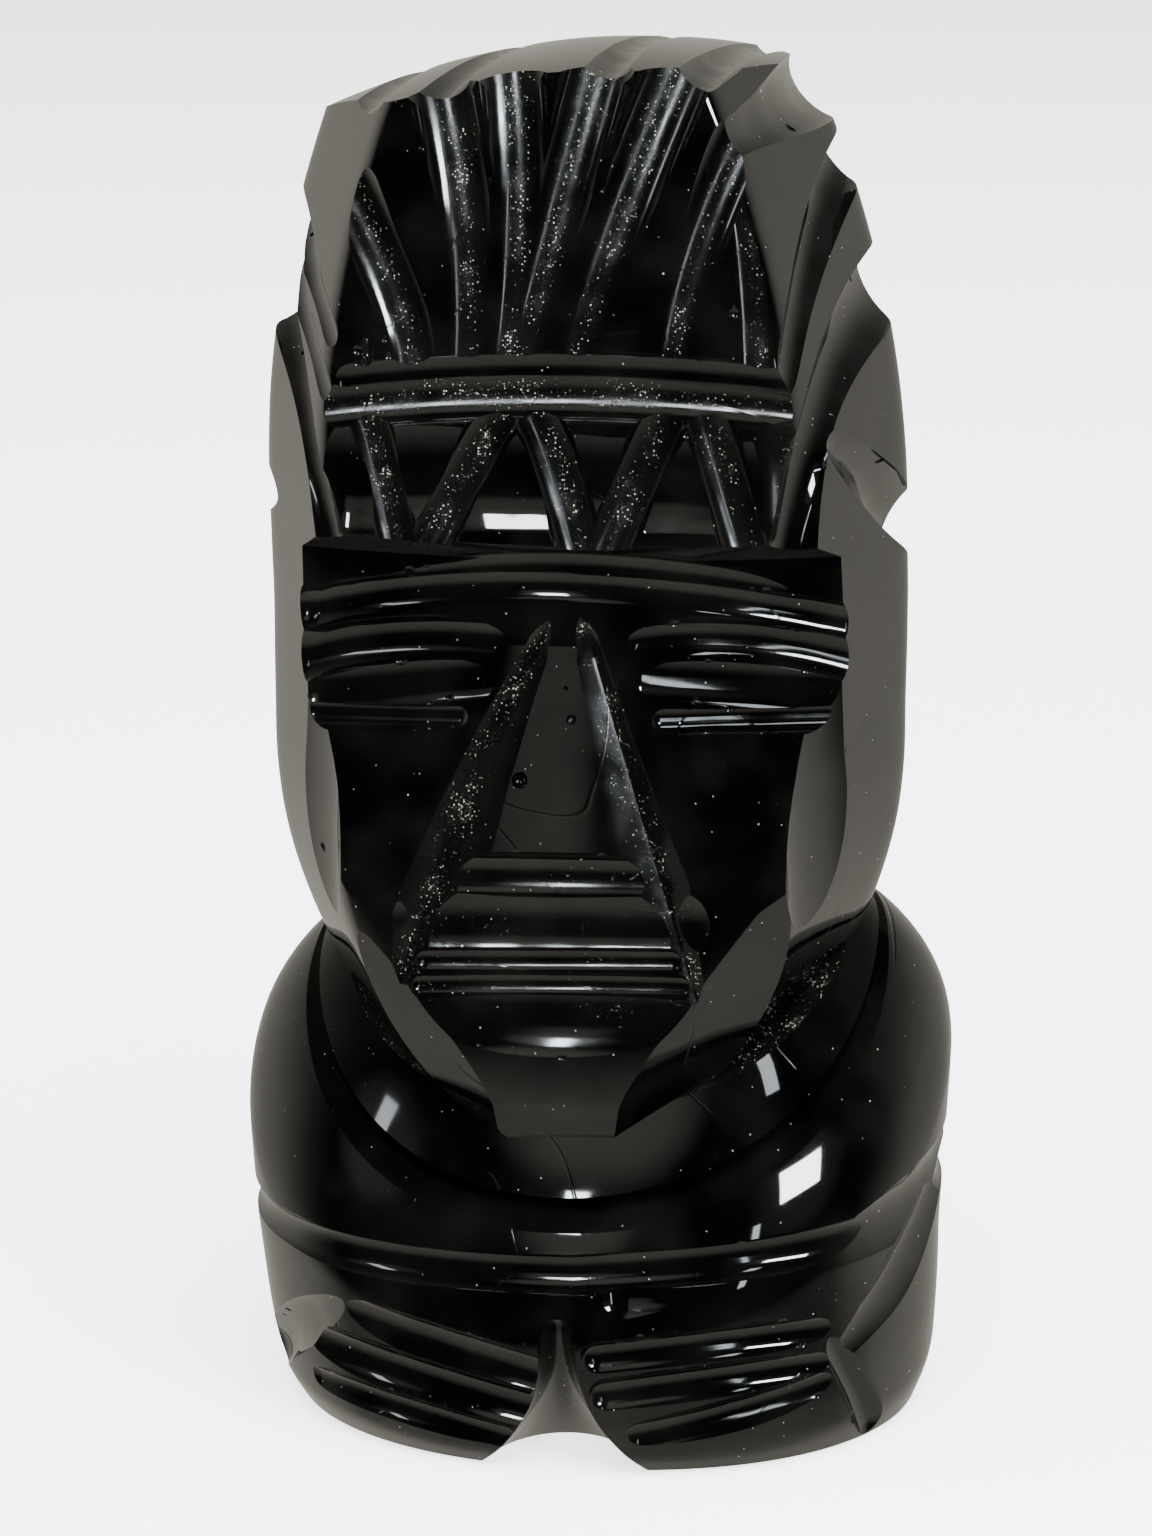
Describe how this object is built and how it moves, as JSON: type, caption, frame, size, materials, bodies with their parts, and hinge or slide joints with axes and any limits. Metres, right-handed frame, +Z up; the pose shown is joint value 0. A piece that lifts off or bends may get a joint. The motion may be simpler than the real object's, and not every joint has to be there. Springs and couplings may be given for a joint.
{
  "type": "carved stone bust",
  "caption": "Polished black stone bust of a stylised face under a feather headdress, with a collar and hands at the front; a solid carving that stands on its flat underside.",
  "frame": {"origin": "centre of the bounding box, on the flat underside", "axes": "+Z up through the crown, -Y the way the face looks, +X to the viewer's right"},
  "size_m": [0.078, 0.066, 0.1484],
  "materials": {
    "obsidian": "glass-polished flats and dull, dusty wheel grooves"
  },
  "bodies": {
    "root": {"bust": "obsidian"}
  },
  "joints": []
}
